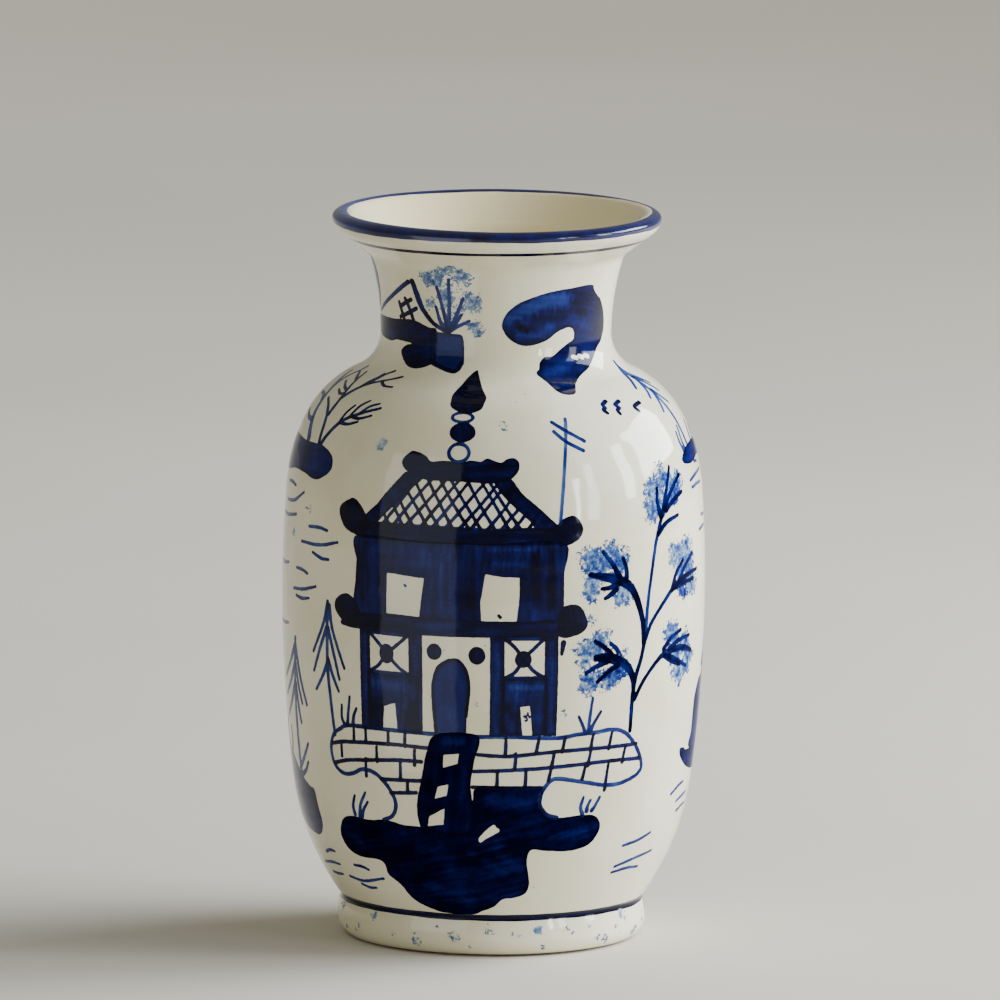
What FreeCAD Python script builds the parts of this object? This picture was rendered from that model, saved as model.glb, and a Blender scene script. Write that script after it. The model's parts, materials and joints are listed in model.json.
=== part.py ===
import FreeCAD, Part
import Sketcher
import math
import os
from collections import namedtuple

# A glazed earthenware vase, 300 mm tall, turned about +Z.  Its origin is the centre of its
# footprint, on the surface it stands on.  The clay is thrown as separate sections that are
# luted edge to edge.  A coat of glaze covers them outside and inside, and painted cobalt
# bands lie on the glaze.
#
# The outside of the glaze is one chain of tangent arcs.  A station is a point on the chain:
# its radius, its height, and its tilt, which is how far its outward normal points above the
# horizontal.  Between two stations runs one arc, or a straight cone where both have the same
# tilt.  Every other surface lies at a constant depth under the chain, measured along the
# normal, so pieces that touch share the same faces.

Station = namedtuple("Station", "radius height tilt")
Arc = namedtuple("Arc", "centre radius")

DRIVING_DIMENSIONS = [
    # alias, millimetres or degrees
    ("widest_radius", 87.1),
    ("widest_height", 145.6),
    ("widest_tilt", 0.0),
    ("floor_edge_height", 6.5),
    ("floor_edge_tilt", -90.0),
    ("waterline_height", 16.5),
    ("waterline_tilt", -36.0),
    ("belly_low_height", 66.0),
    ("belly_low_tilt", -7.4),
    ("belly_high_height", 186.3),
    ("belly_high_tilt", 4.2),
    ("shoulder_mid_height", 213.8),
    ("shoulder_mid_tilt", 24.9),
    ("shoulder_end_height", 234.9),
    ("shoulder_end_tilt", 65.2),
    ("neck_waist_height", 250.4),
    ("neck_waist_tilt", 0.0),
    ("neck_top_height", 280.9),
    ("neck_top_tilt", -16.7),
    ("lip_root_height", 284.2),
    ("lip_flare_tilt", -52.9),
    ("lip_under_height", 292.3),
    ("lip_edge_height", 297.4),
    ("lip_edge_tilt", 0.0),
    ("lip_brow_height", 298.7),
    ("lip_brow_tilt", 50.0),
    ("lip_top_height", 300.0),
    ("lip_top_tilt", 90.0),
    ("lip_inside_tilt", 137.0),
    ("foot_seam_tilt", 15.5),
    ("foot_bulge_height", 7.4),
    ("foot_bulge_tilt", 0.0),
    ("foot_sole_height", 0.0),
    ("foot_sole_tilt", -90.0),
    ("foot_inside_tilt", -73.0),
    ("foot_dip_height", 1.2),
    ("foot_recess_radius", 51.0),
    ("clay_wall", 5.0),
    ("glaze_coat", 0.5),
    ("paint_film", 0.15),
    ("rim_band_low_height", 295.8),
    ("rim_band_end_tilt", 103.0),
    ("lip_line_low_height", 289.8),
    ("lip_line_high_height", 291.1),
    ("base_line_low_height", 15.2),
    ("base_line_high_height", 18.2),
]

doc = FreeCAD.newDocument("talavera_vase")
dims = doc.addObject("Spreadsheet::Sheet", "Dims")
for row, (alias, value) in enumerate(DRIVING_DIMENSIONS, start=1):
    dims.set(f"A{row}", alias)
    dims.set(f"B{row}", str(value))
    dims.setAlias(f"B{row}", alias)
chain = doc.addObject("App::VarSet", "Chain")
doc.recompute()


# ---- sizes as expressions ----------------------------------------------------------------

def length(alias):
    return f"(Dims.{alias} * 1 mm)"


def angle(alias):
    return f"(Dims.{alias} * 1 deg)"


def number(text):
    """The present value of an expression, in millimetres or degrees."""
    value = chain.evalExpression(text)
    return float(getattr(value, "Value", value))


def derived(name, kind, text):
    """A size worked out from the sheet and kept in the document under its own name."""
    chain.addProperty(kind, name, "Derived")
    chain.setExpression(name, text)
    doc.recompute()
    return f"Chain.{name}"


# ---- the chain of arcs -------------------------------------------------------------------

def arc_radius(start, end):
    """Signed radius of the arc between two stations, positive where the pot bulges out."""
    return f"({end.height} - {start.height}) / (sin({end.tilt}) - sin({start.tilt}))"


def radius_at(name, start, height, tilt):
    """Radius of the chain where a known station's arc reaches a height and a tilt."""
    text = f"{start.radius} - ({height} - {start.height}) * tan(({start.tilt} + {tilt}) / 2)"
    return derived(f"{name}_radius", "App::PropertyLength", text)


def next_station(name, previous, tilt_alias=None):
    height = length(f"{name}_height")
    tilt = angle(tilt_alias or f"{name}_tilt")
    return Station(radius_at(name, previous, height, tilt), height, tilt)


def station_at_height(name, start, end):
    """The station at a height of its own on the arc or cone between two others."""
    height = length(f"{name}_height")
    tilt = start.tilt
    if start.tilt != end.tilt:
        sine = f"sin({start.tilt}) + ({height} - {start.height}) / ({arc_radius(start, end)})"
        tilt = derived(f"{name}_tilt", "App::PropertyAngle", f"asin({sine})")
    return Station(radius_at(name, start, height, tilt), height, tilt)


def station_at_tilt(name, start, end):
    """The station with a tilt of its own on the arc through two others."""
    tilt = angle(f"{name}_tilt")
    rise = f"({arc_radius(start, end)}) * (sin({tilt}) - sin({start.tilt}))"
    height = derived(f"{name}_height", "App::PropertyLength", f"{start.height} + {rise}")
    return Station(radius_at(name, start, height, tilt), height, tilt)


widest = Station(length("widest_radius"), length("widest_height"), angle("widest_tilt"))
belly_low = next_station("belly_low", widest)
waterline = next_station("waterline", belly_low)
floor_edge = next_station("floor_edge", waterline)
belly_high = next_station("belly_high", widest)
shoulder_mid = next_station("shoulder_mid", belly_high)
shoulder_end = next_station("shoulder_end", shoulder_mid)
neck_waist = next_station("neck_waist", shoulder_end)
neck_top = next_station("neck_top", neck_waist)
lip_root = next_station("lip_root", neck_top, "lip_flare_tilt")
lip_under = next_station("lip_under", lip_root, "lip_flare_tilt")
lip_edge = next_station("lip_edge", lip_under)
lip_brow = next_station("lip_brow", lip_edge)
lip_top = next_station("lip_top", lip_brow)
lip_inside = station_at_tilt("lip_inside", lip_top, lip_brow)

# The foot ring meets the belly in a shallow groove, so the chain turns a corner there.
foot_seam = Station(waterline.radius, waterline.height, angle("foot_seam_tilt"))
foot_bulge = next_station("foot_bulge", foot_seam)
foot_sole = next_station("foot_sole", foot_bulge)
foot_inside = station_at_tilt("foot_inside", floor_edge, waterline)
foot_dip = station_at_height("foot_dip", foot_bulge, foot_sole)

rim_band_low = station_at_height("rim_band_low", lip_under, lip_edge)
rim_band_end = station_at_tilt("rim_band_end", lip_top, lip_brow)
lip_line_low = station_at_height("lip_line_low", lip_root, lip_under)
lip_line_high = station_at_height("lip_line_high", lip_root, lip_under)
base_line_low = station_at_height("base_line_low", foot_bulge, foot_seam)
base_line_high = station_at_height("base_line_high", waterline, belly_low)

LOWER_WALL = [waterline, belly_low, widest]
UPPER_WALL = [widest, belly_high, shoulder_mid, shoulder_end]
NECK_WALL = [shoulder_end, neck_waist, neck_top]
LIP_OUTSIDE = [neck_top, lip_root, lip_under, lip_edge, lip_brow, lip_top]

# Depths under the outside of the glaze.
GLAZE_FACE = "0 mm"
CLAY_OUTSIDE = length("glaze_coat")
CLAY_INSIDE = f"({length('glaze_coat')} + {length('clay_wall')})"
LINING_FACE = f"(2 * {length('glaze_coat')} + {length('clay_wall')})"
PAINT_FACE = f"(-{length('paint_film')})"

# A radius or height of nought, for points that sit on the axis or on the ground.
NOUGHT = "0"


# ---- outlines ----------------------------------------------------------------------------
# An outline is a list of points and the curve that leads from each one to the next: an Arc,
# or None for a straight line.

def at_depth(station, depth):
    """The point at a depth under a station."""
    return (f"{station.radius} - {depth} * cos({station.tilt})",
            f"{station.height} - {depth} * sin({station.tilt})")


def run(stations, depth):
    """The surface at one depth past the stations in their order."""
    steps = []
    for start, end in zip(stations, stations[1:]):
        curve = None
        if start.tilt != end.tilt and start.height != end.height:
            radius = arc_radius(start, end)
            curve = Arc(at_depth(start, f"({radius})"), f"abs({radius} - {depth})")
        steps.append((at_depth(start, depth), curve))
    steps.append((at_depth(stations[-1], depth), None))
    return steps


def back(steps):
    """A run traced the other way."""
    points = [point for point, curve in steps][::-1]
    curves = [curve for point, curve in steps][-2::-1] + [None]
    return list(zip(points, curves))


def corner(radius, height):
    return [((radius, height), None)]


def wall(stations):
    """A thrown section of clay, cut square across the wall at both ends."""
    return run(stations, CLAY_OUTSIDE) + back(run(stations, CLAY_INSIDE))


def drawn_edge(start, end, curve):
    """The edge between two points, and which of its ends is at the first one."""
    if curve is None:
        return Part.LineSegment(start, end), 1
    centre = FreeCAD.Vector(number(curve.centre[0]), number(curve.centre[1]), 0)
    circle = Part.Circle(centre, FreeCAD.Vector(0, 0, 1), number(curve.radius))
    first, second = [math.atan2(p.y - centre.y, p.x - centre.x) for p in (start, end)]
    sweep = (second - first) % (2 * math.pi)
    if sweep < math.pi:
        return Part.ArcOfCircle(circle, first, first + sweep), 1
    return Part.ArcOfCircle(circle, second, second + 2 * math.pi - sweep), 2


def turned_piece(label, outline):
    """A body turned about +Z from an outline drawn in the XZ plane."""
    body = doc.addObject("PartDesign::Body", label)
    body.Label = label
    sketch = body.newObject("Sketcher::SketchObject", f"{label}_outline")
    plane = [f for f in body.Origin.OriginFeatures if f.Role == "XZ_Plane"][0]
    sketch.AttachmentSupport = [(plane, "")]
    sketch.MapMode = "FlatFace"

    points = [FreeCAD.Vector(number(x), number(z), 0) for (x, z), curve in outline]
    starts = []
    for i, (texts, curve) in enumerate(outline):
        edge, start_end = drawn_edge(points[i], points[(i + 1) % len(points)], curve)
        sketch.addGeometry(edge, False)
        starts.append(start_end)
    for i, (texts, curve) in enumerate(outline):
        j = (i + 1) % len(outline)
        sketch.addConstraint(Sketcher.Constraint("Coincident", i, 3 - starts[i], j, starts[j]))
    for i, ((x_text, z_text), curve) in enumerate(outline):
        if x_text == NOUGHT:
            sketch.addConstraint(Sketcher.Constraint("PointOnObject", i, starts[i], -2))
        else:
            bind(sketch, "DistanceX", i, starts[i], x_text)
        if z_text == NOUGHT:
            sketch.addConstraint(Sketcher.Constraint("PointOnObject", i, starts[i], -1))
        else:
            bind(sketch, "DistanceY", i, starts[i], z_text)
        if curve is not None:
            index = sketch.addConstraint(Sketcher.Constraint("Radius", i, number(curve.radius)))
            sketch.setExpression(f"Constraints[{index}]", curve.radius)

    turning = body.newObject("PartDesign::Revolution", f"{label}_turned")
    turning.Profile = sketch
    turning.ReferenceAxis = (sketch, ["V_Axis"])
    turning.Angle = 360.0
    sketch.Visibility = False
    body.Tip = turning
    body.Placement = FreeCAD.Placement()
    return body


def bind(sketch, kind, edge, end, text):
    """A distance from the sketch's origin to a point, tied to an expression."""
    constraint = Sketcher.Constraint(kind, -1, 1, edge, end, number(text))
    index = sketch.addConstraint(constraint)
    sketch.setExpression(f"Constraints[{index}]", text)


# ---- the clay ----------------------------------------------------------------------------

def foot_ring():
    """The turned ring that the pot stands on, luted under the heel of the floor."""
    recess = length("foot_recess_radius")
    sole = corner(recess, NOUGHT) + corner(foot_sole.radius, NOUGHT)
    outside = run([foot_dip, foot_bulge, foot_seam], CLAY_OUTSIDE)
    heel = run([waterline, foot_inside], CLAY_OUTSIDE)
    return turned_piece("foot_ring", sole + outside + heel)


def base_floor():
    """The floor of the pot with the rounded heel that the belly rises from."""
    stations = [floor_edge, waterline]
    under = run(stations, CLAY_OUTSIDE)
    over = back(run(stations, CLAY_INSIDE))
    under_middle = corner(NOUGHT, under[0][0][1])
    over_middle = corner(NOUGHT, over[-1][0][1])
    return turned_piece("base_floor", under_middle + under + over + over_middle)


def lower_belly():
    return turned_piece("lower_belly", wall(LOWER_WALL))


def upper_belly():
    return turned_piece("upper_belly", wall(UPPER_WALL))


def neck():
    return turned_piece("neck", wall(NECK_WALL))


def flared_lip():
    """The flared mouth, which thickens towards a rolled edge."""
    outside = run(LIP_OUTSIDE + [lip_inside], CLAY_OUTSIDE)
    inside = back(run([neck_top, lip_root], CLAY_INSIDE))
    return turned_piece("flared_lip", outside + inside)


# ---- the glaze ---------------------------------------------------------------------------

def outer_glaze():
    """The coat from the top of the lip down to just above the bare edge of the foot."""
    foot = [foot_dip, foot_bulge]
    above_groove = LOWER_WALL + UPPER_WALL[1:] + NECK_WALL[1:] + LIP_OUTSIDE[1:]
    face = run(foot + [foot_seam], GLAZE_FACE)[:-1] + run(above_groove, GLAZE_FACE)
    under = run(foot + [foot_seam], CLAY_OUTSIDE) + run(above_groove, CLAY_OUTSIDE)
    return turned_piece("outer_glaze", face + back(under))


def inner_glaze():
    """The lining, from the top of the lip down the inside and across the floor."""
    below_lip = NECK_WALL[::-1] + UPPER_WALL[-2::-1] + LOWER_WALL[-2::-1] + [floor_edge]
    roll = [lip_top, lip_inside]
    face = run(roll, GLAZE_FACE) + run([lip_root] + below_lip, LINING_FACE)
    under = run(roll, CLAY_OUTSIDE) + run([lip_root] + below_lip, CLAY_INSIDE)
    face_middle = corner(NOUGHT, face[-1][0][1])
    under_middle = corner(NOUGHT, under[-1][0][1])
    return turned_piece("inner_glaze", face + face_middle + under_middle + back(under))


# ---- the painted bands -------------------------------------------------------------------

def rim_band():
    """Cobalt over the rolled edge of the lip, from its underside to just inside the mouth."""
    stations = [rim_band_low, lip_edge, lip_brow, lip_top, rim_band_end]
    return turned_piece("rim_band", run(stations, PAINT_FACE) + back(run(stations, GLAZE_FACE)))


def lip_line():
    """A thin cobalt line round the underside of the lip."""
    stations = [lip_line_low, lip_line_high]
    return turned_piece("lip_line", run(stations, PAINT_FACE) + back(run(stations, GLAZE_FACE)))


def base_line():
    """A cobalt line that fills the groove between the belly and the foot ring."""
    bisector = f"(({waterline.tilt} + {foot_seam.tilt}) / 2)"
    opening = f"(({foot_seam.tilt} - {waterline.tilt}) / 2)"
    groove = Station(waterline.radius, waterline.height, bisector)
    face = (run([base_line_low], PAINT_FACE)
            + run([groove], f"({PAINT_FACE} / cos({opening}))")
            + run([base_line_high], PAINT_FACE))
    under = run([base_line_low, foot_seam], GLAZE_FACE)[:-1]
    under += run([waterline, base_line_high], GLAZE_FACE)
    return turned_piece("base_line", face + back(under))


PIECES = [
    foot_ring(),
    base_floor(),
    lower_belly(),
    upper_belly(),
    neck(),
    flared_lip(),
    outer_glaze(),
    inner_glaze(),
    rim_band(),
    lip_line(),
    base_line(),
]
doc.recompute()


# ---- checks and files --------------------------------------------------------------------

for item in doc.Objects:
    if "Invalid" in item.State or "Error" in item.State:
        raise RuntimeError(f"{item.Label} could not be worked out: {item.State}")
for sketch in [item for item in doc.Objects if item.TypeId == "Sketcher::SketchObject"]:
    if sketch.solve() != 0 or not sketch.FullyConstrained:
        raise RuntimeError(f"{sketch.Label} is not fully constrained")
for body in PIECES:
    shape = body.Shape
    if shape.isNull() or not shape.isValid() or len(shape.Solids) != 1:
        raise RuntimeError(f"{body.Label} is not one valid solid")

os.makedirs("parts", exist_ok=True)
for body in PIECES:
    body.Shape.exportStep(f"parts/{body.Label}.step")
    box = body.Shape.optimalBoundingBox()
    print(f"{body.Label}: {body.Shape.Volume / 1000:.1f} cm3, z {box.ZMin:.2f} to {box.ZMax:.2f},"
          f" widest radius {box.XMax:.2f}")
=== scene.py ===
import json
import math

import bpy
import numpy as np
from mathutils import Matrix, Vector


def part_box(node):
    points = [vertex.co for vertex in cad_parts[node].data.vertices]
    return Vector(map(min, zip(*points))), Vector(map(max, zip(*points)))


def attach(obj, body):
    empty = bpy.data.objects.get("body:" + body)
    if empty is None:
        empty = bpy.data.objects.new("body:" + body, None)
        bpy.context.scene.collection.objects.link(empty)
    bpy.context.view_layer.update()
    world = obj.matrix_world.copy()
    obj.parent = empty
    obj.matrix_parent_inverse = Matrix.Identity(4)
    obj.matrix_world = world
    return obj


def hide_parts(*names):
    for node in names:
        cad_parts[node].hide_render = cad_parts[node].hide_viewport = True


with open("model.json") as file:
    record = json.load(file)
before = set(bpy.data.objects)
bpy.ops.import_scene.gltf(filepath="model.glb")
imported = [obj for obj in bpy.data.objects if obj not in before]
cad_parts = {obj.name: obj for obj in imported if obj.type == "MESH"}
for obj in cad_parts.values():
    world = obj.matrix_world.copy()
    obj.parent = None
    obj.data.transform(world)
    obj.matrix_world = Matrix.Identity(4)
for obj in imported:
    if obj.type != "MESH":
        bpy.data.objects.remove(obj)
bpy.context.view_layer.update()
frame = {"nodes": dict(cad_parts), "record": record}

# The vase's looks: one skin of tin glaze turned round the CAD profile, and the cobalt painting
# as thin films that lie on it, one named piece for each painted motif.
#
# A place on the outside of the pot is written (degrees right of the front, millimetres up).
# The painting is worked out on a map of the pot's outside whose two coordinates are both
# angles: the way round the pot, and the way up it measured in local radii.  Shapes keep their
# proportions on such a map, from the belly to the narrow neck.

MM = 0.001
FILM = 0.07 * MM        # how far the paint stands off the glaze
SUNK = -0.02 * MM       # where the edge of a film ends, just under the glaze
BLEED = 0.55            # millimetres that a wet brush line spreads in the raw glaze
FAR_OUTSIDE = -3.0      # the cover of a bare place, in millimetres outside the paint
FAR_OFF = 1e3           # a distance longer than any on the pot, in millimetres
FILM_CELL = 0.42        # millimetres between the nodes of a motif's map
EDGE_ROOM = 0.06        # the least share of a cell between a film's edge and a node
SKIN_COLUMNS = 420      # points round the glaze skin
BAND_COLUMNS = 900      # points round a painted band
BAND_STEP = 0.35 * MM   # between the points across a painted band
GIRTH_RADIUS = 84       # millimetres, for the length of a mark round a band
LIT_HEIGHT = 0.15       # metres up the pot, where every lamp points


# ---- noise and curves --------------------

def noise(u, v, seed):
    """Smooth seeded noise over a plane, from -1 to 1, with features about one unit wide."""
    iu, iv = np.floor(u).astype(np.int64), np.floor(v).astype(np.int64)
    fu, fv = u - iu, v - iv
    fu, fv = fu * fu * (3 - 2 * fu), fv * fv * (3 - 2 * fv)

    def corner(a, b):
        mixed = (a * 374761393 + b * 668265263 + seed * 974634777) & 0xFFFFFFFF
        mixed = ((mixed ^ (mixed >> 13)) * 1274126177) & 0xFFFFFFFF
        return ((mixed ^ (mixed >> 16)) & 0xFFFF) / 32767.5 - 1

    low = corner(iu, iv) * (1 - fu) + corner(iu + 1, iv) * fu
    high = corner(iu, iv + 1) * (1 - fu) + corner(iu + 1, iv + 1) * fu
    return low * (1 - fv) + high * fv


def layered(u, v, seed):
    """Noise with three octaves."""
    return (noise(u, v, seed) + 0.5 * noise(2.1 * u, 2.1 * v, seed + 1)
            + 0.25 * noise(4.3 * u, 4.3 * v, seed + 2)) / 1.4


def smooth_curve(points, step, closed=False):
    """A Catmull-Rom curve through the rows of points, cut about every step."""
    rows = np.array(points, float)
    if len(rows) == 2 and not closed:
        count = max(2, int(np.linalg.norm(rows[1, :2] - rows[0, :2]) / step) + 1)
        share = np.linspace(0, 1, count)[:, None]
        return rows[0] * (1 - share) + rows[1] * share
    if closed:
        ring = np.vstack([rows[-1], rows, rows[0], rows[1]])
    else:
        ring = np.vstack([2 * rows[0] - rows[1], rows, 2 * rows[-1] - rows[-2]])
    parts = []
    for a, b, c, d in zip(ring, ring[1:], ring[2:], ring[3:]):
        count = max(1, int(np.ceil(np.linalg.norm(c[:2] - b[:2]) / step)))
        t = np.linspace(0, 1, count, endpoint=False)[:, None]
        parts.append(b + 0.5 * t * ((c - a) + t * ((2 * a - 5 * b + 4 * c - d)
                                                   + t * (3 * b - a - 3 * c + d))))
    if not closed:
        parts.append(rows[-1:])
    return np.vstack(parts)


# ---- the pot's glazed surface --------------------

def rings(node, faces_out):
    """Radius and height of the rings of a turned CAD node, on the faces that faces_out picks."""
    mesh = frame["nodes"][node].data
    places = set()
    for face in mesh.polygons:
        across = math.hypot(face.center.x, face.center.y)
        outward = (face.normal.x * face.center.x + face.normal.y * face.center.y) / max(across, MM)
        if faces_out(outward, face.normal.z):
            for index in face.vertices:
                point = mesh.vertices[index].co
                places.add((round(math.hypot(point.x, point.y), 5), round(point.z, 5)))
    return sorted(places, key=lambda place: (place[1], place[0]))


def thinned(places, gap):
    """The places with those closer together than gap left out."""
    kept = [places[0]]
    for place in places[1:]:
        if math.dist(place, kept[-1]) > gap:
            kept.append(place)
    return kept


class Pot:
    """The glazed face as one path: up the outside, over the lip, down inside to the middle."""

    STEP = 0.7 * MM                             # along the path
    RING_GAP, SEAM_GAP = 0.2 * MM, 0.15 * MM    # rings of the CAD faces closer than this are one
    LEAST_STEP = 0.02 * MM                      # shorter steps of the path are left out
    LIP_DEPTH = 15 * MM                         # how far over the lip run_inside looks
    NORMAL_STEP, NORMAL_RADIUS = 0.4 * MM, 0.08 # reach of the slopes that give a normal

    def __init__(self):
        outside = rings("outer_glaze", lambda out, up: out > 0.05)
        inside = rings("inner_glaze", lambda out, up: out < -0.02 or up > 0.9)[::-1]
        floor = [(0.0, inside[-1][1])]
        places = thinned(outside, self.RING_GAP) + thinned(inside, self.RING_GAP) + floor
        path = smooth_curve(thinned(places, self.SEAM_GAP), self.STEP)
        steps = np.hypot(*np.diff(path, axis=0).T)
        path = path[np.concatenate([[True], steps > self.LEAST_STEP])]
        self.r, self.z = path.T
        self.run = np.concatenate([[0], np.cumsum(np.hypot(*np.diff(path, axis=0).T))])
        slope_r, slope_z = np.gradient(self.r), np.gradient(self.z)
        size = np.hypot(slope_r, slope_z)
        self.out, self.up = slope_z / size, -slope_r / size
        self.top = int(np.argmax(self.z))
        rise = slice(0, self.top + 1)
        self.rise_r, self.rise_z, self.rise_run = self.r[rise], self.z[rise], self.run[rise]
        middle = (self.rise_r[1:] + self.rise_r[:-1]) / 2
        self.climb = np.concatenate([[0], np.cumsum(np.diff(self.rise_run) / middle)])

    def climb_at(self, height):
        return np.interp(height, self.rise_z, self.climb)

    def run_at_climb(self, climb):
        return np.interp(climb, self.climb, self.rise_run)

    def run_at(self, height):
        return np.interp(height, self.rise_z, self.rise_run)

    def run_inside(self, radius):
        """Run of the place just inside the mouth that has a radius."""
        inside = slice(self.top, self.top + int(self.LIP_DEPTH / self.STEP))
        return np.interp(-radius, -self.r[inside], self.run[inside])

    def radius_at_climb(self, climb):
        return np.interp(climb, self.climb, self.rise_r)

    def hand(self, theta, run, radius):
        """How far the hand-thrown wall stands out of round, in metres."""
        slow = 0.14 * np.sin(2 * theta + 0.6 + 9 * run) + 0.07 * np.sin(3 * theta + 2.1 - 17 * run)
        quick = 0.035 * np.sin(5 * theta - 41 * run) + 0.02 * np.sin(9 * theta + 70 * run)
        turns = 0.016 * np.sin(run * 2 * np.pi / (9 * MM) + 1.7 * np.sin(theta + 40 * run))
        return (slow + quick + turns) * MM * np.clip(radius / (30 * MM), 0, 1)

    def place(self, theta, run, lift=0.0):
        """Points on the glazed face, lifted off it along its normal."""
        radius, height, out, up = (np.interp(run, self.run, row)
                                   for row in (self.r, self.z, self.out, self.up))
        stand = lift + self.hand(theta, run, radius)
        radius = radius + stand * out
        return np.stack([radius * np.sin(theta), -radius * np.cos(theta), height + stand * up], -1)

    def normal(self, theta, run):
        step = self.NORMAL_STEP
        along = self.place(theta, run + step) - self.place(theta, run - step)
        turn = step / self.NORMAL_RADIUS
        around = self.place(theta + turn, run) - self.place(theta - turn, run)
        normal = np.cross(around, along)
        return normal / np.maximum(np.linalg.norm(normal, axis=-1, keepdims=True), 1e-12)


pot = Pot()


# ---- meshes --------------------

def new_object(name, data):
    """An object of the scene that shows a mesh, a light or a camera."""
    piece = bpy.data.objects.new(name, data)
    bpy.context.scene.collection.objects.link(piece)
    return piece


def mesh_piece(name, points, corners, sizes, material, load, normals=None):
    """A mesh object from points, the flat list of its faces' corners, and the faces' sizes.

    The cobalt or other load that each point holds is kept as a value for the material.
    """
    mesh = bpy.data.meshes.new(name)
    mesh.vertices.add(len(points))
    mesh.vertices.foreach_set("co", np.asarray(points, np.float32).ravel())
    mesh.loops.add(len(corners))
    mesh.loops.foreach_set("vertex_index", np.asarray(corners, np.int32))
    mesh.polygons.add(len(sizes))
    starts = np.concatenate([[0], np.cumsum(sizes)[:-1]]).astype(np.int32)
    mesh.polygons.foreach_set("loop_start", starts)
    mesh.update(calc_edges=True)
    mesh.polygons.foreach_set("use_smooth", np.ones(len(sizes), bool))
    if normals is not None:
        mesh.normals_split_custom_set_from_vertices(np.asarray(normals, float).tolist())
    layer = mesh.attributes.new("load", "FLOAT", "POINT")
    layer.data.foreach_set("value", np.asarray(load, np.float32))
    mesh.materials.append(material)
    return new_object(name, mesh)


def woven(rows, columns):
    """Corners of the quads of a grid that closes round on itself."""
    row, column = np.meshgrid(np.arange(rows - 1), np.arange(columns), indexing="ij")
    after = (column + 1) % columns
    quads = np.stack([row * columns + column, row * columns + after,
                      (row + 1) * columns + after, (row + 1) * columns + column], -1)
    return quads.reshape(-1, 4)


def film_mesh(name, theta, climb, cover, load, material, lift):
    """A film over the nodes of a map where cover is above nought, with a lip down to the glaze."""
    rows, columns = cover.shape
    index = np.arange(rows * columns).reshape(rows, columns)
    a, b, c, d = index[:-1, :-1], index[:-1, 1:], index[1:, 1:], index[1:, :-1]
    triangles = np.concatenate([np.stack([a, b, c], -1).reshape(-1, 3),
                                np.stack([a, c, d], -1).reshape(-1, 3)])
    inside = (cover > 0).ravel()
    count = inside[triangles].sum(1)
    whole = triangles[count == 3]
    cut = triangles[(count == 1) | (count == 2)]
    odd_is_in = inside[cut].sum(1) == 1
    state = inside[cut] == odd_is_in[:, None]
    turn = np.argmax(state, 1)
    order = (turn[:, None] + np.arange(3)) % 3
    p, q, r = np.take_along_axis(cut, order, 1).T
    ends = np.sort(np.concatenate([np.stack([p, q], -1), np.stack([p, r], -1)]), 1)
    edges, where = np.unique(ends, axis=0, return_inverse=True)
    pq, pr = where.reshape(2, -1)

    theta, climb, cover, load = (np.ravel(row) for row in (theta, climb, cover, load))
    first, second = edges.T
    share = np.clip(cover[first] / (cover[first] - cover[second]), EDGE_ROOM, 1 - EDGE_ROOM)
    on_edge = [row[first] + share * (row[second] - row[first]) for row in (theta, climb)]
    on_edge.append(np.where(inside[first], load[first], load[second]))

    used = np.unique(np.concatenate([whole.ravel(), p[odd_is_in], q[~odd_is_in], r[~odd_is_in]]))
    number = np.full(rows * columns, -1)
    number[used] = np.arange(len(used))
    base = len(used)
    tips = np.stack([number[p], base + pq, base + pr], -1)[odd_is_in]
    quads = np.stack([number[q], number[r], base + pr, base + pq], -1)[~odd_is_in]
    rim = np.concatenate([np.stack([base + pr, base + pq], -1)[odd_is_in],
                          np.stack([base + pq, base + pr], -1)[~odd_is_in]])
    theta, climb, load = (np.concatenate([row[used], edge, edge])
                          for row, edge in zip((theta, climb, load), on_edge))
    low = len(edges)
    skirt = np.stack([rim[:, 1], rim[:, 0], rim[:, 0] + low, rim[:, 1] + low], -1)
    run = pot.run_at_climb(climb)
    height = np.full(len(theta), lift)
    height[base + low:] = SUNK
    points = pot.place(theta, run, height)
    normals = pot.normal(theta, run)
    corners = np.concatenate([number[whole].ravel(), tips.ravel(), quads.ravel(), skirt.ravel()])
    sizes = np.concatenate([np.full(len(whole), 3), np.full(len(tips), 3),
                            np.full(len(quads), 4), np.full(len(skirt), 4)])
    return mesh_piece(name, points, corners, sizes, material, load, normals)


# ---- the painter's hand --------------------

def signed_distance(curve, theta, climb):
    """How far each place of the map is from a closed curve, positive inside it."""
    nearest = np.full(theta.shape, FAR_OFF)
    crossed = np.zeros(theta.shape, bool)
    for a, b in zip(curve, np.roll(curve, -1, axis=0)):
        side = b[:2] - a[:2]
        size = side @ side
        if size == 0:
            continue
        share = np.clip(((theta - a[0]) * side[0] + (climb - a[1]) * side[1]) / size, 0, 1)
        distance = np.hypot(theta - a[0] - share * side[0], climb - a[1] - share * side[1])
        nearest = np.minimum(nearest, distance)
        if a[1] != b[1]:
            between = (climb < a[1]) != (climb < b[1])
            crossed ^= between & (theta < a[0] + side[0] * (climb - a[1]) / side[1])
    return np.where(crossed, 1, -1) * nearest


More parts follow.
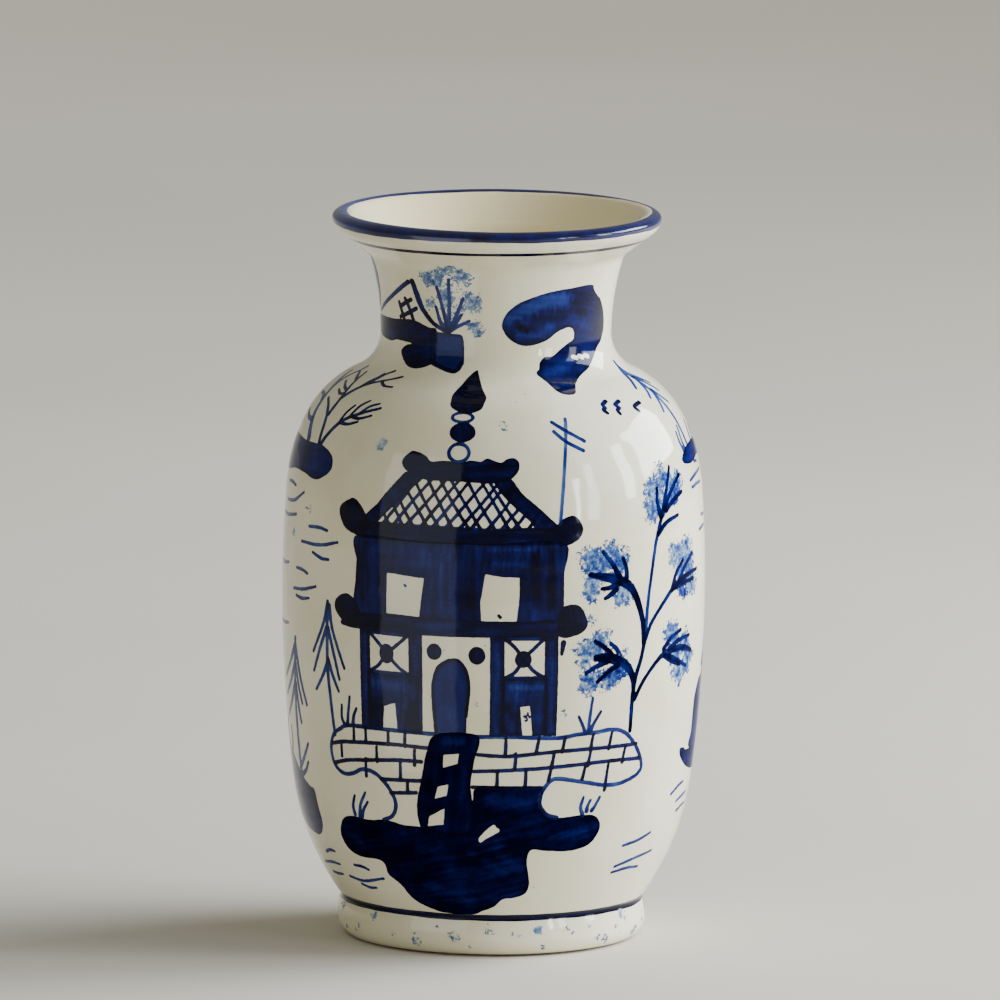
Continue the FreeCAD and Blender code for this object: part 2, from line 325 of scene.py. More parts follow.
class Motif:
    """One painted motif.  Its brushwork is noted down first and then laid on a map of its size."""

    made = 0
    STROKE_STEP, OUTLINE_STEP, SIDE_STEP, TONE_STEP = 1.0 * MM, 1.2 * MM, 1.5 * MM, 2.0 * MM
    MARGIN = 2.0          # millimetres of the map that are kept round a stroke or a shape
    STROKE_ROOM = 1.2     # millimetres round a stroke or a dab that are worked out
    THICKER = 0.07        # how much more pigment there is where two strokes cross

    def __init__(self, name, turn=0.0, cell=FILM_CELL, lift=FILM, paint="gloss"):
        Motif.made += 1
        self.name = name
        self.turn = turn
        self.cell = cell * MM
        self.lift = lift
        self.paint = paint
        self.seed = 100 * Motif.made
        self.work = []
        self.reach = []

    # -- noting the work down

    def mapped(self, points):
        """Places on the map, from degrees and millimetres in turn or in pairs.

        The repeat on the back strays a little from the front's.
        """
        degrees, height = np.reshape(np.array(points, float), (-1, 2)).T
        if self.turn:
            degrees = degrees + 0.8 * noise(degrees / 11, height / 17, 5) + self.turn
            height = height + 0.9 * noise(degrees / 13, height / 15, 6)
        return np.column_stack([np.radians(degrees), pot.climb_at(height * MM)])

    def note(self, act, curve, margin, **how):
        """Keeps a piece of work for later, and how far it reaches on the map."""
        self.reach.append((curve[:, :2].min(0) - margin, curve[:, :2].max(0) + margin))
        self.work.append((act, curve, how))

    def scale(self, curve):
        """The pot's radius where a curve lies: metres to one unit of the map."""
        return float(pot.radius_at_climb(curve[:, 1].mean()))

    def stroke(self, points, width, load=0.68):
        """A brush stroke; width is one number, or several spread along it, in millimetres."""
        curve = self.mapped(points)
        given = np.atleast_1d(np.array(width, float))
        widths = np.interp(np.linspace(0, 1, len(curve)), np.linspace(0, 1, len(given)), given)
        curve = np.column_stack([curve, widths + BLEED])
        scale = self.scale(curve)
        curve = smooth_curve(curve, self.STROKE_STEP / scale)
        self.note(self.lay_stroke, curve, (widths.max() + self.MARGIN) * MM / scale, load=load)

    def strokes(self, width, *routes, load=0.68):
        """Like strokes, one for each route."""
        for route in routes:
            self.stroke(route, width, load)

    def fill(self, outline, load=0.9, grain=0.0, streak=0.10, sharp=False):
        """A closed shape, brushed along grain degrees from upright."""
        curve = self.closed(outline, sharp)
        margin = self.MARGIN * MM / self.scale(curve)
        self.note(self.lay_fill, curve, margin, load=load, grain=grain, streak=streak)

    def spare(self, outline, sharp=False):
        """A closed shape left white."""
        self.note(self.lay_spare, self.closed(outline, sharp), 0.0)

    def closed(self, outline, sharp):
        """The outline as a closed curve, or with straight sides if it is sharp."""
        curve = self.mapped(outline)
        scale = self.scale(curve)
        if sharp:
            ring = np.vstack([curve, curve[:1]])
            step = self.SIDE_STEP / scale
            return np.vstack([smooth_curve(ring[i:i + 2], step)[:-1] for i in range(len(curve))])
        return smooth_curve(curve, self.OUTLINE_STEP / scale, closed=True)

    def tone(self, points, width, change):
        """Where the pigment already laid is thinner or thicker, softly, along a route."""
        curve = self.mapped(points)
        if len(curve) > 1:
            curve = smooth_curve(curve, self.TONE_STEP / self.scale(curve))
        self.note(self.lay_tone, curve, 0.0, width=width, change=change)

    def sponge(self, centre, radius, load=0.22, density=0.5, size=0.8):
        """A dab with a sponge: broken specks that thin out towards the edge."""
        curve = self.mapped([centre])
        margin = (radius + 1.5) * MM / self.scale(curve)
        self.note(self.lay_sponge, curve, margin, radius=radius, load=load,
                  density=density, size=size)

    def dabs(self, radius, places, **how):
        """Like dabs with the sponge, one at each place of a list."""
        for place in zip(places[::2], places[1::2]):
            self.sponge(place, radius, **how)

    # -- laying it on the map

    def lay_stroke(self, curve, seed, load):
        window, theta, climb, scale = self.around(curve, curve[:, 2].max() / 2 + self.STROKE_ROOM)
        best = np.full(theta.shape, FAR_OUTSIDE)
        along = np.zeros(theta.shape)
        across = np.zeros(theta.shape)
        start = 0.0
        for a, b in zip(curve, curve[1:]):
            side = b[:2] - a[:2]
            size = np.hypot(*side)
            if size == 0:
                continue
            share = ((theta - a[0]) * side[0] + (climb - a[1]) * side[1]) / size ** 2
            share = np.clip(share, 0, 1)
            off_theta = theta - a[0] - share * side[0]
            off_climb = climb - a[1] - share * side[1]
            distance = np.hypot(off_theta, off_climb) * scale
            inside = (a[2] + share * (b[2] - a[2])) / 2 - distance
            nearer = inside > best
            best = np.where(nearer, inside, best)
            along = np.where(nearer, start + share * size * scale, along)
            side_of = (off_theta * side[1] - off_climb * side[0]) / size * scale
            across = np.where(nearer, side_of, across)
            start += size * scale.mean()
        shade = (load + 0.13 * noise(along / 9.0, across / 0.6, seed)
                 + 0.10 * noise(along / 4.0, across * 0, seed + 3)
                 + 0.10 * np.exp(-along / 1.5) + 0.12 * np.exp(-np.maximum(start - along, 0) / 2.0))
        self.merge(window, best, shade)

    def lay_fill(self, curve, seed, load, grain, streak):
        window, theta, climb, scale = self.around(curve, self.MARGIN)
        inside = signed_distance(curve, theta, climb) * scale
        x, y = theta * scale, climb * self.scale_mm.mean()
        lean = math.radians(grain)
        along = x * math.sin(lean) + y * math.cos(lean)
        across = x * math.cos(lean) - y * math.sin(lean) + 1.2 * noise(along / 18, x / 30, seed + 9)
        shade = (load + 0.7 * streak * noise(across / 1.5, along / 18, seed)
                 + 0.4 * streak * noise(across / 0.7, along / 9, seed + 1)
                 + 0.9 * streak * layered(x / 9, y / 9, seed + 2)
                 + 0.14 * np.exp(-np.maximum(inside, 0) / 0.6))
        self.merge(window, inside, shade)

    def lay_spare(self, curve, seed):
        window, theta, climb, scale = self.around(curve, self.MARGIN)
        inside = signed_distance(curve, theta, climb) * scale
        self.cover[window] = np.minimum(self.cover[window], -inside)

    def lay_tone(self, curve, seed, width, change):
        window, theta, climb, scale = self.around(curve, width)
        distance = np.full(theta.shape, FAR_OFF)
        for point in curve:
            distance = np.minimum(distance, np.hypot(theta - point[0], climb - point[1]) * scale)
        rough = 1 + 0.35 * noise(theta * scale / 1.1, climb * scale / 5, seed)
        share = np.clip(1.15 - distance / (width * rough), 0, 1)
        self.load[window] += change * share * share * (3 - 2 * share)

    def lay_sponge(self, curve, seed, radius, load, density, size):
        window, theta, climb, scale = self.around(curve, radius + self.STROKE_ROOM)
        x, y = (theta - curve[0, 0]) * scale, (climb - curve[0, 1]) * scale
        bent = radius * (1 + 0.25 * noise(np.arctan2(y, x) * 1.3, scale * 0, seed))
        far = np.clip(np.hypot(x, y) / bent, 0, 2)
        grit = layered(x / size + 50, y / size + 50, seed + 1)
        broad = noise(x / (3 * size), y / (3 * size), seed + 4)
        speck = (grit + 0.45 * broad + density - 1.35 * far ** 2) * 0.6 * size
        shade = load + 0.16 * (1 - far) + 0.24 * broad + 0.22 * grit
        self.merge(window, speck, shade, over=0.0)

    def merge(self, window, inside, shade, over=THICKER):
        """Adds work to the map; where it crosses older work the pigment is thicker by over."""
        cover, load = self.cover[window], self.load[window]
        both = (inside > 0) & (cover > 0)
        old = (inside <= 0) & (cover > inside)
        self.load[window] = np.where(both, np.maximum(load, shade) + over, np.where(old, load, shade))
        self.cover[window] = np.maximum(cover, inside)

    def around(self, curve, margin):
        """The part of the map that reaches margin millimetres past a curve, and its places."""
        room = margin * MM / self.radius
        low = np.floor((curve[:, :2].min(0) - room - self.origin) / self.pitch).astype(int)
        high = np.ceil((curve[:, :2].max(0) + room - self.origin) / self.pitch).astype(int) + 1
        low = np.maximum(low, 0)
        window = slice(low[1], high[1]), slice(low[0], high[0])
        return window, self.theta[window], self.climb[window], self.scale_mm[window]

    def finish(self):
        """Lays the work on a map of the motif's size and makes the film."""
        low = np.min([reach[0] for reach in self.reach], axis=0)
        high = np.max([reach[1] for reach in self.reach], axis=0)
        self.radius = float(pot.radius_at_climb((low[1] + high[1]) / 2))
        self.pitch = self.cell / self.radius
        self.origin = low
        columns, rows = np.ceil((high - low) / self.pitch).astype(int) + 1
        self.theta, self.climb = np.meshgrid(low[0] + self.pitch * np.arange(columns),
                                             low[1] + self.pitch * np.arange(rows))
        self.scale_mm = pot.radius_at_climb(self.climb) / MM
        self.cover = np.full(self.theta.shape, FAR_OUTSIDE)
        self.load = np.zeros(self.theta.shape)
        for turn, (act, curve, how) in enumerate(self.work):
            act(curve, self.seed + turn, **how)
        x, y = self.theta * self.scale_mm, self.climb * self.scale_mm
        ragged = 0.09 * noise(x / 1.3, y / 1.3, self.seed) + 0.05 * noise(x / 0.6, y / 0.6, 3)
        self.cover += np.where(self.cover > FAR_OUTSIDE / 2, ragged, 0)
        self.cover[[0, -1], :] = FAR_OUTSIDE
        self.cover[:, [0, -1]] = FAR_OUTSIDE
        piece = film_mesh(self.name, self.theta, self.climb, self.cover,
                          np.clip(self.load, 0, 1), COBALT[self.paint], self.lift)
        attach(piece, "root")


# ---- materials --------------------

class Shader:
    """A new material's node tree with short ways to add and join nodes."""

    def __init__(self, name):
        self.material = bpy.data.materials.new(name)
        self.material.use_nodes = True
        self.tree = self.material.node_tree
        self.surface = self.tree.nodes["Principled BSDF"]

    def add(self, kind, links=None, **settings):
        node = self.tree.nodes.new(kind)
        for key, value in settings.items():
            setattr(node, key, value)
        for socket, value in (links or {}).items():
            self.put(node.inputs[socket], value)
        return node

    def put(self, socket, value):
        """Joins a socket to another, or sets it to a number or a colour."""
        if isinstance(value, bpy.types.NodeSocket):
            self.tree.links.new(value, socket)
        else:
            socket.default_value = (*value, 1) if isinstance(value, tuple) else value

    def set(self, **values):
        for key, value in values.items():
            self.put(self.surface.inputs[key.replace("_", " ")], value)

    def maths(self, operation, a, b=0.0, clamp=False):
        node = self.add("ShaderNodeMath", {0: a, 1: b}, operation=operation)
        node.use_clamp = clamp
        return node.outputs[0]

    def grain(self, scale, detail=2.0):
        """Noise from 0 to 1 over the object, with features about 1/scale metres wide."""
        links = {"Scale": scale, "Detail": detail, "Vector": self.here()}
        return self.add("ShaderNodeTexNoise", links).outputs["Fac"]

    def swing(self, scale, size):
        """Noise from -size/2 to size/2."""
        return self.maths("MULTIPLY", self.maths("SUBTRACT", self.grain(scale), 0.5), size)

    def film_load(self):
        """The load that the mesh holds at each place, from 0 to 1."""
        return self.add("ShaderNodeAttribute", attribute_name="load").outputs["Fac"]

    def here(self):
        return self.add("ShaderNodeTexCoord").outputs["Object"]

    def ramp(self, value, stops):
        node = self.add("ShaderNodeValToRGB", {"Fac": value})
        elements = node.color_ramp.elements
        while len(elements) < len(stops):
            elements.new(0.5)
        for element, (place, colour) in zip(elements, stops):
            element.position = place
            element.color = (*colour, 1)
        return node.outputs["Color"]

    def mix(self, share, first, second):
        node = self.add("ShaderNodeMix", {"Factor": share, 6: first, 7: second}, data_type="RGBA")
        return node.outputs[2]

    def bump(self, *layers):
        """One bump after another: pairs of a height from 0 to 1 and its depth in metres."""
        normal = None
        for height, depth in layers:
            node = self.add("ShaderNodeBump", {"Height": height, "Distance": depth})
            if normal is not None:
                self.put(node.inputs["Normal"], normal)
            normal = node.outputs["Normal"]
        self.set(Normal=normal)


def glaze_flow(shader, ripple=0.05):
    """The shallow waves and pinholes of a glaze that has run and cooled."""
    waves = shader.grain(55, 1.0)
    ripples = shader.grain(140, 1.0)
    orange_peel = shader.grain(420, 1.0)
    pits = shader.add("ShaderNodeTexVoronoi", {"Scale": 260.0, "Vector": shader.here()})
    pinhole = shader.maths("LESS_THAN", pits.outputs["Distance"], 0.05)
    sink = shader.maths("SUBTRACT", 1.0, pinhole)
    shader.bump((waves, 0.25 * MM), (ripples, ripple * MM), (orange_peel, 0.012 * MM),
                (sink, 0.03 * MM))


def tin_glaze():
    """Cream-white glaze, smudged and specked, darker and more yellow inside the mouth as painted shade."""
    shader = Shader("tin_glaze")
    cream, milk, smoke = (0.81, 0.75, 0.52), (0.88, 0.83, 0.64), (0.70, 0.65, 0.44)
    mouth_shade = (0.82, 0.70, 0.41)
    body = shader.ramp(shader.grain(24, 3.0), [(0.35, cream), (0.62, milk)])
    smudge = shader.maths("SUBTRACT", shader.grain(13, 2.0), 0.60, clamp=True)
    body = shader.mix(shader.maths("MULTIPLY", smudge, 2.2, clamp=True), body, smoke)
    # painted shade: inside the mouth the glaze colour is mixed towards a darker, more yellow one
    within = shader.film_load()
    body = shader.mix(shader.maths("MULTIPLY", within, 0.7), body, mouth_shade)
    specks = shader.add("ShaderNodeTexVoronoi", {"Scale": 150.0, "Vector": shader.here()})
    near = shader.maths("LESS_THAN", specks.outputs["Distance"], 0.045)
    rare = shader.maths("GREATER_THAN", shader.grain(31, 1.0), 0.60)
    body = shader.mix(shader.maths("MULTIPLY", near, rare), body, (0.20, 0.13, 0.08))
    shader.set(Base_Color=body, Roughness=0.07, IOR=1.5)
    glaze_flow(shader)
    return shader.material


def cobalt(name, shine, rough=0.08, ripple=0.05):
    """Cobalt under gloss: the more pigment the brush left, the darker it fires."""
    shader = Shader(name)
    load, mottle, cloud = shader.film_load(), shader.swing(700, 0.12), shader.swing(120, 0.14)
    thick = shader.maths("ADD", shader.maths("ADD", load, mottle), cloud, clamp=True)
    stops = [
        (0.00, (0.50, 0.58, 0.63)),
        (0.20, (0.21, 0.31, 0.45)),
        (0.38, (0.058, 0.112, 0.29)),
        (0.56, (0.016, 0.036, 0.19)),
        (0.74, (0.0040, 0.0080, 0.098)),
        (0.90, (0.0011, 0.0018, 0.032)),
        (1.00, (0.0005, 0.0006, 0.010)),
    ]
    shader.set(Base_Color=shader.ramp(thick, stops), Roughness=rough, IOR=1.5,
               Specular_IOR_Level=shine)
    glaze_flow(shader, ripple)
    return shader.material


def bare_clay():
    """Unglazed clay with rusty patches and pale grog."""
    shader = Shader("bare_clay")
    buff, rust = (0.62, 0.47, 0.34), (0.50, 0.33, 0.22)
    body = shader.ramp(shader.grain(90, 4.0), [(0.38, rust), (0.6, buff)])
    grog = shader.maths("GREATER_THAN", shader.grain(900, 2.0), 0.68)
    body = shader.mix(grog, body, (0.78, 0.70, 0.60))
    shader.set(Base_Color=body, Roughness=0.85)
    shader.bump((shader.grain(1400, 3.0), 0.12 * MM))
    return shader.material


tin_glaze_material = tin_glaze()
cobalt_paint = cobalt("cobalt_paint", 0.15)
cobalt_soft = cobalt("cobalt_soft", 0.008)
cobalt_rim = cobalt("cobalt_rim", 0.50, rough=0.15, ripple=0.15)
COBALT = {"gloss": cobalt_paint, "soft": cobalt_soft}   # soft hardly mirrors the windows
clay_material = bare_clay()


# ---- glaze, bands and clay --------------------

def glaze_skin():
    """The glaze outside and in as one turned skin with a rolled edge above the bare foot."""
    columns = SKIN_COLUMNS
    theta = np.arange(columns) * 2 * np.pi / columns
    run = pot.run[:-1]
    edge = [(-0.55, 0.12), (-0.42, -0.10), (-0.18, -0.12)]  # millimetres out and up from the path
    start = np.array([(pot.r[0] + dr * MM, pot.z[0] + dz * MM) for dr, dz in edge])
    lead = np.stack([np.outer(start[:, 0], np.sin(theta)), -np.outer(start[:, 0], np.cos(theta)),
                     np.repeat(start[:, 1:], columns, 1)], -1)
    around, along = np.meshgrid(theta, run)
    points = np.concatenate([lead, pot.place(around, along)]).reshape(-1, 3)
    rows = len(run) + len(start)
    quads = woven(rows, columns)
    middle = len(points)
    last = (rows - 1) * columns + np.arange(columns)
    fan = np.stack([last, np.roll(last, -1), np.full(columns, middle)], -1)
    points = np.vstack([points, [(0, 0, pot.z[-1])]])
    corners = np.concatenate([quads.ravel(), fan.ravel()])
    sizes = np.concatenate([np.full(len(quads), 4), np.full(len(fan), 3)])
    # the rows inside the mouth, which the glaze material darkens as painted shade
    within = np.repeat(np.arange(rows) > pot.top + len(start), columns)
    piece = mesh_piece("glaze_skin", points, corners, sizes, tin_glaze_material,
                       np.append(within, True))
    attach(piece, "root")
    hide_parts("outer_glaze", "inner_glaze")


def painted_band(name, node, low, high, waver, load, mottle, paint, inward=0.0, thin=0.0):
    """A line brushed right round the pot between two runs of the path, with uneven edges.

    Its edges waver by waver metres, its top edge slips over the lip by up to inward metres,
    and by thin it holds less pigment at the left, a painted reflection that pales the band there.
    """
    columns = BAND_COLUMNS
    rows = max(7, int((high - low) / BAND_STEP))
    theta = np.arange(columns) * 2 * np.pi / columns
    seed = len(name)
    drift = (np.sin(2 * theta + seed) + 0.6 * np.sin(5 * theta + 2 * seed)
             + 0.35 * np.sin(13 * theta + seed)) * waver / 2
    swell = (0.5 * np.sin(3 * theta + 3 * seed) + 0.4 * np.sin(11 * theta)
             + 0.3 * np.sin(31 * theta + seed)) * waver / 2
    share = np.linspace(0, 1, rows)[:, None]
    slip = inward * (0.6 - 0.4 * np.cos(theta) - 1.6 * np.clip(np.sin(theta), 0, 1) ** 4)
    bottom, top = low + drift - swell, high + slip + drift * 0.7 + swell
    run = bottom + share * (top - bottom)
    around = np.broadcast_to(theta, run.shape)
    lift = np.full(run.shape, FILM)
    lift[[0, -1]] = SUNK
    wheel = around * GIRTH_RADIUS
    shade = load + mottle * (0.12 * noise(wheel / 14, share * 5, seed)
                             + 0.08 * noise(wheel / 3, share * 3, seed + 1))
    # painted reflection: less pigment towards the left makes the band paler and more slate-blue there
    shade = shade - thin * np.clip(-np.sin(theta), 0, 1) ** 4
    normals = pot.normal(around, run)
    quads = woven(rows, columns)
    piece = mesh_piece(name, pot.place(around, run, lift).reshape(-1, 3), quads.ravel(),
                       np.full(len(quads), 4), paint, np.clip(shade, 0, 1).ravel(),
                       normals.reshape(-1, 3))
    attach(piece, "root")
    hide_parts(node)


def bands():
    """The lines on the rim, under the lip and above the foot, where the CAD bands lie."""
    rim_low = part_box("rim_band")[0].z
    inner = min(radius for radius, _ in rings("rim_band", lambda out, up: up > 0.9))
    # thin pales the rim band at its left end as a painted reflection
    painted_band("rim_band_paint", "rim_band", pot.run_at(rim_low), pot.run_inside(inner),
                 0.35 * MM, 0.82, 0.5, cobalt_rim, inward=1.5 * MM, thin=0.30)
    line_low, line_high = (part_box("lip_line")[i].z for i in (0, 1))
    painted_band("lip_line_paint", "lip_line", pot.run_at(line_low) - 0.15 * MM,
                 pot.run_at(line_high) + 0.15 * MM, 0.24 * MM, 0.96, 0.6, cobalt_paint)
    base_low, base_high = (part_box("base_line")[i].z for i in (0, 1))
    painted_band("base_line_paint", "base_line", pot.run_at(base_low), pot.run_at(base_high),
                 0.30 * MM, 0.94, 1.0, cobalt_paint)


def clay_pieces():
    """The CAD's clay nodes keep their shape and look like bare clay."""
    for part in frame["record"]["subparts"]:
        if part["material_slot"] == "clay":
            node = frame["nodes"][part["node"]]
            node.data.materials.clear()
            node.data.materials.append(clay_material)


glaze_skin()
bands()
clay_pieces()


# ---- painted motifs --------------------
#
# Every route and outline is a list of places: degrees right of the front, millimetres up.

def neck_hut(motif):
    """A gabled hut behind a dark bank, with a twiggy bush."""
    motif.stroke([-78,260, -60,268, -45,275.5], [0.9, 1.3, 1.5])
    motif.stroke([-78,286, -76.5,278, -77,270, -79,262], [1.2, 4.2, 3.6, 1.2], 0.5)
    motif.stroke([-42.5,276, -40.5,270, -38.5,265.5, -35,261.5, -31,258.5, -25,256],
        [2.0, 2.4, 2.0, 1.6, 1.3, 1.1], load=0.8)
    motif.strokes(1.3, [-49,268, -46.5,264, -44.5,259.5], [-54,266, -52.5,262, -51,259], [-52,265, -45,268],
        [-54,260, -48,262, -42,264.5], load=0.82)
    motif.fill([-84,257, -80,258, -60,258.5, -45,259.5, -35,257.2, -30,256, -30,244, -32,242.3, -36,240.7,
        -40,240, -45,240.5, -50,243, -53,246, -50,248.5, -46,249.5, -52,250, -58,250, -65,249, -80,250,
        -84,252], load=0.86, grain=80)
    motif.fill([-34,256, -30,255.8, -24,255.3, -17.5,255.2, -16,253, -15.5,247, -15.5,243.5, -18,241,
        -19,240, -27,241.5, -33.5,244.5], load=0.76, grain=90, streak=0.08)
    motif.tone([-30,251, -20,251], 4.0, -0.08)
    motif.stroke([-33,243.6, -27,241.7, -19,240.3, -16.4,243.5], 1.4, load=0.9)
    motif.strokes([1.5, 0.8], [-24,256, -28,260, -30,266], [-24,256, -26,264, -28.8,274.5],
        [-24,256, -23,266, -22.3,278], [-24,256, -20,262, -15.8,270.3], [-24,256, -19,258.5, -13,261],
        [-24,256, -20.5,259, -17,263.3], load=0.6)
    motif.sponge((-22, 270), 13.0, load=0.0, density=0.05, size=0.5)
    for place, radius in (((-30, 278.5), 4.2), ((-25.5, 281), 3.6), ((-16, 280.5), 3.6), ((-34, 279), 2.6),
            ((-12, 268), 4.0), ((-10, 258), 3.4), ((-33, 267), 2.6), ((-24, 270), 3.4), ((-21, 283), 2.4)):
        motif.sponge(place, 1.4 * radius, load=0.09, density=0.6, size=0.5)


def neck_rock(motif):
    """A dark hooked rock, heavy at its right end, with painted reflections left white in it."""
    motif.fill([3,259, 4,262.5, 7,266, 12,269, 20,271.5, 28,273, 38,273.8, 51.5,274.2, 54,272, 58,269,
        61,267.5, 64,264.5, 66.5,261, 68,257.5, 68,254, 66.5,251, 64,249, 60,247, 55,243.5, 48,240,
        43,238.5, 39,237, 35,235, 32,232.5, 28,232.3, 25,233.5, 23,236.5, 19.3,239.8, 21,241.5, 22,244,
        25,246, 29,246, 33,248, 38,250.5, 42,252, 42.5,254.5, 41.5,256.5, 39,257.3, 36,257, 32,255.8,
        28,253.5, 24,252, 18,250.8, 13,251, 8,253, 5,255.5], load=0.86, grain=100, streak=0.07)
    motif.tone([7,262, 14,266, 24,269, 34,269], 5.5, -0.26)
    motif.tone([12,255, 20,255, 28,258], 3.0, -0.18)
    motif.tone([10,260, 15,257], 2.0, 0.18)
    motif.tone([45,268, 56,264, 62,257], 7.0, 0.10)
    motif.tone([40,262, 48,258], 3.0, -0.08)
    motif.tone([24,240, 32,241, 40,244], 3.0, -0.14)
    # painted reflections: three window panes left white in the rock
    for start in (41, 45, 49):
        motif.spare([(start, 246), (start + 3.5, 245), (start + 2.5, 243.6), (start - 1, 244.8)])


def finial(motif):
    """The spike over the ridge: a flame, a ring, a ball and a ring."""
    motif.fill([-8.5,241.2, -12.5,238, -15.8,233, -16,231, -15.5,228.5, -13,227, -10,225.8, -5,227.5,
        -3.8,230, -3.3,232, -5,234.5, -7.5,239.5], load=0.98)
    motif.stroke(ring_route((-10.6, 224.7), (3.4, 1.7)), 0.9)
    motif.fill(ring_route((-10, 219.2), (4.1, 3.7))[:-1], load=0.92)
    motif.stroke(ring_route((-10.5, 211.4), (3.0, 3.5)), 1.0)


def ring_route(centre, half, count=12):
    """Points round an oval, back to the first."""
    angles = [2 * math.pi * i / count for i in range(count + 1)]
    return [(centre[0] + half[0] * math.sin(a), centre[1] + half[1] * math.cos(a)) for a in angles]


def upper_roof(motif):
    """The upper roof: a scalloped ridge, thick slopes, a lattice of tiles and curled eaves."""
    motif.fill([-25.2,203, -27.3,205.5, -27.3,208, -25.5,210.6, -24,211.2, -20.5,209.8, -18.5,207.6,
        -16,208, -13,208, -10,207.5, -7,208.6, -4,208.3, -2,209.5, 0,208.6, 2,208, 3.5,209.3, 5.5,209.8,
        7,208.2, 6.8,204.5, 4.2,201, 0,199.8, -10,200.2, -21,200.5], load=0.93, grain=85)
    motif.fill([-25.3,203, -28,199.5, -31,194.5, -34,189, -37.5,184.2, -39,180.5, -34.5,180.7, -31,185.5,
        -27,191, -24,196, -20.5,201], grain=-40)
    motif.fill([4.2,202, 8,195.5, 13,189, 18,181.8, 18.5,180, 13.5,180.3, 8,187, 3,194, 0,200.5], load=0.93,
        grain=40)
    lattice(motif)
    motif.fill([-40,181.5, -30,181.6, -10,181.2, 5,181.2, 19,181.5, 20,175.2, 5,174.9, -10,174.9, -30,174.9,
        -40,175.2], load=0.93, grain=88)
    motif.fill([-37.5,184.3, -39.5,188, -42,190.2, -44,189.3, -46.5,187, -47.2,184.5, -46.5,181,
        -44.5,177.5, -42,176, -39,175.3, -36,178, -36,182], load=1.0)
    motif.fill([17,181, 19,184.8, 22,186.2, 24,184, 25,180.5, 24,177, 22,175, 19,173.8, 17,176], load=1.0)
    motif.stroke([-36,181.2, -20,181.5, 0,181.0, 16,181.3], 0.9, load=0.78)


def lattice(motif):
    """Crossed strokes that fill the roof between its ridge and its eave."""
    low, high = 181.2, 200.6
    for first, pitch, lean in ((-47.0, 3.75, 10.6), (-33.5, 3.75, -8.2)):
        for i in range(17):
            stray = 0.35 * math.sin(2.3 * i + lean) + 0.2 * math.sin(5.1 * i + lean)
            foot = (first + pitch * i + stray, low)
            head = (foot[0] + lean + 0.6 * math.sin(1.7 * i + lean), high)
            clipped = within_roof(foot, head)
            if clipped:
                a, b = clipped
                middle = ((a[0] + b[0]) / 2 + 0.15 * (-1) ** i, (a[1] + b[1]) / 2)
                motif.stroke([a, middle, b], [1.05, 0.85, 0.75], load=0.84)


def within_roof(foot, head):
    """The stretch of a lattice stroke that lies between the roof's two slopes."""
    inside = []
    for i in range(41):
        share = i / 40
        place = (foot[0] + share * (head[0] - foot[0]), foot[1] + share * (head[1] - foot[1]))
        left = -35.2 + (place[1] - 180.8) * 0.70
        right = 13.9 - (place[1] - 180.8) * 0.69
        if left < place[0] < right:
            inside.append(place)
    return (inside[0], inside[-1]) if len(inside) > 4 else None


def upper_storey(motif):
    """The dark upper storey with two pale windows."""
    motif.fill([-40,175.6, -40.1,165, -40.3,157, -41,148.5, -41,143, -20,142.6, 0,142.6, 19.2,143, 19.2,149,
        19.3,162, 19.2,175.6, 0,175.4, -20,175.4], load=0.84, streak=0.09)
    motif.spare([-30,161.5, -24,160.8, -19,160.3, -19.8,151, -20.3,144.3, -25,144.6, -30,144.8], sharp=True)
    motif.spare([-2.2,163, 2,161.8, 7,161.5, 7,153, 6.3,143.5, 1,143.6, -3.2,143.5, -3.5,151], sharp=True)
    motif.tone([-34,171, -14,171.5], 4.0, -0.08)
    motif.tone([-33,165.5, -14,166.5], 2.4, -0.06)
    for column in (-17.5, -14.5, -12.0):
        motif.tone([(column, 170), (column + 0.4, 160), (column, 147)], 1.2, -0.10)
    motif.tone([-1,173, 11,173], 1.5, -0.16)
    motif.tone([0,167, 8,167], 1.8, -0.12)
    for column in (-37.5, -6.0, 11.5, 16.0):
        motif.tone([(column, 172), (column, 150)], 2.6, 0.10)
    motif.tone([12,168, 14,150], 5.0, 0.07)


def lower_eave(motif):
    """The dark band between the storeys, with a curl at each end."""
    motif.fill([-41,143.5, -30,144, -20,144, -10,144.2, 5,143.2, 19,144, 24,141.5, 22,137.2, 10,136.9,
        -5,136.8, -20,136.8, -43,137.2, -45,140], grain=88)
    motif.fill([-40,148, -43.5,150.8, -47,148.5, -48,145, -47,142, -44.5,139, -42,137.2, -39,138,
        -38.5,143], load=1.0)
    motif.fill([18.5,148, 20,149.6, 23,149.6, 25,146.8, 26.2,142, 25.3,138.8, 23,137, 18.5,136.4, 17.5,141],
        load=1.0)
    motif.tone([-30,141, -10,141], 2.0, -0.08)


